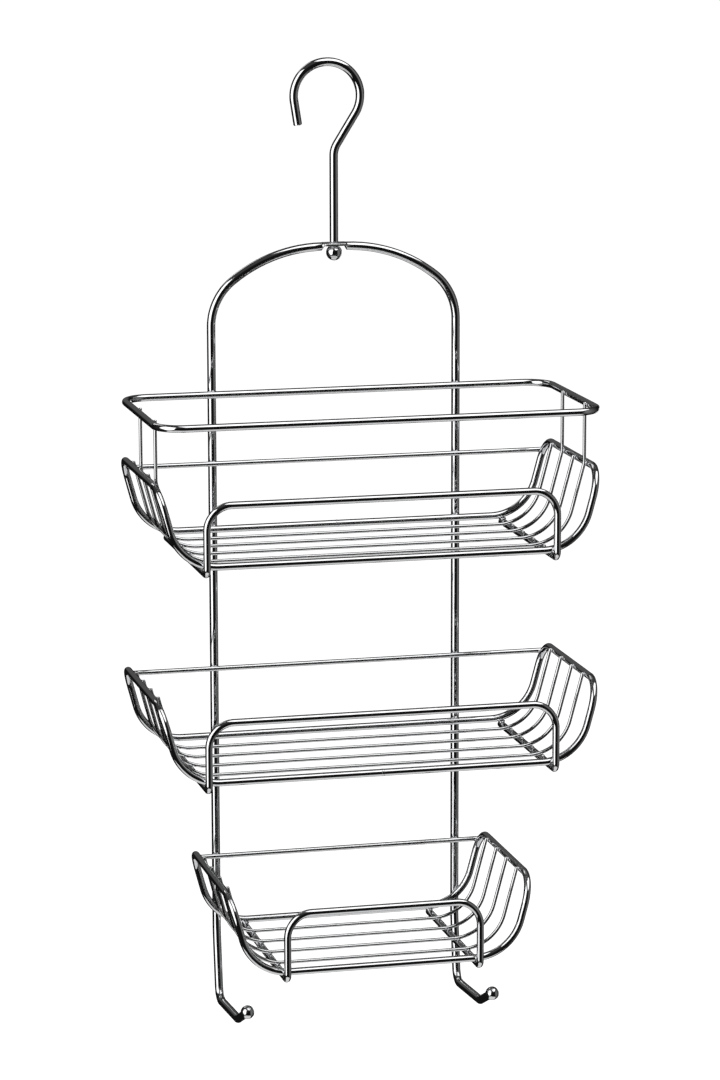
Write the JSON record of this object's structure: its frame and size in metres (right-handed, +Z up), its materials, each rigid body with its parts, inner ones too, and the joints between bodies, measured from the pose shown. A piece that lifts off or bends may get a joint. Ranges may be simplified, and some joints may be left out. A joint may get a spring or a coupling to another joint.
{
  "type": "shower caddy",
  "caption": "Hanging wire shower caddy: tiered open baskets welded to an arched frame that swivels on a hook, with towel hooks below.",
  "frame": {"origin": "the crown of the inside of the hanger hook's loop, where the hook rests on the shower arm", "axes": "+Z up; +X to the right seen from the front; -Y towards the front of the baskets; the uprights' centre plane is y = 0"},
  "size_m": [0.306, 0.1475, 0.6598],
  "materials": {
    "hook": "bright chrome plate on round steel wire",
    "frame": "bright chrome plate on round steel wire",
    "rails": "bright chrome plate on round steel wire",
    "thin_wires": "bright chrome plate on thin steel wire",
    "balls": "bright polished chrome plate"
  },
  "bodies": {
    "hook": {"hanger_hook": "hook", "ball_nut": "balls"},
    "caddy": {"frame": "frame", "towel_hook_ball_left": "balls", "towel_hook_ball_right": "balls", "upper_rail": "rails", "top_rim": "rails", "middle_rim": "rails", "bottom_rim": "rails", "top_guard": "rails", "middle_guard": "rails", "bottom_guard": "rails", "top_back_wire": "thin_wires", "middle_back_wire": "thin_wires", "bottom_back_wire": "thin_wires", "top_floor_wire_1": "thin_wires", "top_floor_wire_2": "thin_wires", "top_floor_wire_3": "thin_wires", "top_floor_wire_4": "thin_wires", "middle_floor_wire_1": "thin_wires", "middle_floor_wire_2": "thin_wires", "middle_floor_wire_3": "thin_wires", "middle_floor_wire_4": "thin_wires", "bottom_floor_wire_1": "thin_wires", "bottom_floor_wire_2": "thin_wires", "bottom_floor_wire_3": "thin_wires", "bottom_floor_wire_4": "thin_wires"}
  },
  "joints": [
    {"name": "hook_swivel", "type": "hinge", "parent": "hook", "child": "caddy", "pos_m": [0.0046, 0, -0.1212], "axis": [0, 0, 1], "continuous": true}
  ]
}
